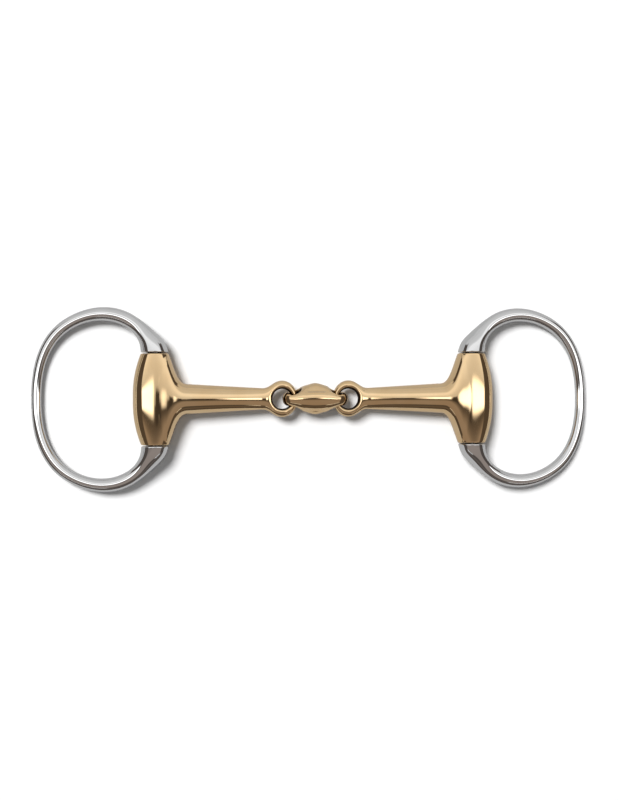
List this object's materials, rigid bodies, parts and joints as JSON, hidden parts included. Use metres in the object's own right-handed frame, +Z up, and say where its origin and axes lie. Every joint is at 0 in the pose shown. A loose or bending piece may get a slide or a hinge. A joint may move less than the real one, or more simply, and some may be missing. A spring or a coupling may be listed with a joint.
{
  "type": "snaffle bit",
  "caption": "Double-jointed eggbutt snaffle bit: two polished steel cheek rings hinged to a golden copper-alloy mouthpiece with a lozenge centre link.",
  "frame": {"origin": "on the surface that the bit lies on, under the middle of the centre link", "axes": "+X along the mouthpiece to the right cheek ring, +Y along the barrels and cheek pins, +Z up from the surface"},
  "size_m": [0.26, 0.0844, 0.014],
  "materials": {
    "cheek_steel": "mirror-polished stainless steel",
    "pin_steel": "ground stainless steel, hidden in the barrel",
    "mouthpiece_alloy": "polished golden copper alloy"
  },
  "bodies": {
    "centre_link": {"centre_link": "mouthpiece_alloy"},
    "left_arm": {"left_mouthpiece_arm": "mouthpiece_alloy"},
    "right_arm": {"right_mouthpiece_arm": "mouthpiece_alloy"},
    "left_cheek": {"left_cheek_ring": "cheek_steel", "left_cheek_pin": "pin_steel"},
    "right_cheek": {"right_cheek_ring": "cheek_steel", "right_cheek_pin": "pin_steel"}
  },
  "joints": [
    {"name": "left_fold", "type": "hinge", "parent": "centre_link", "child": "left_arm", "pos_m": [-0.0095, 0, 0.007], "axis": [0, 1, 0], "range_deg": [-60, 60]},
    {"name": "right_fold", "type": "hinge", "parent": "centre_link", "child": "right_arm", "pos_m": [0.0095, 0, 0.007], "axis": [0, -1, 0], "range_deg": [-60, 60]},
    {"name": "left_cheek_swing", "type": "hinge", "parent": "left_arm", "child": "left_cheek", "pos_m": [-0.0738, 0, 0.007], "axis": [0, 1, 0], "range_deg": [-165, 175]},
    {"name": "right_cheek_swing", "type": "hinge", "parent": "right_arm", "child": "right_cheek", "pos_m": [0.0738, 0, 0.007], "axis": [0, -1, 0], "range_deg": [-165, 175]}
  ]
}
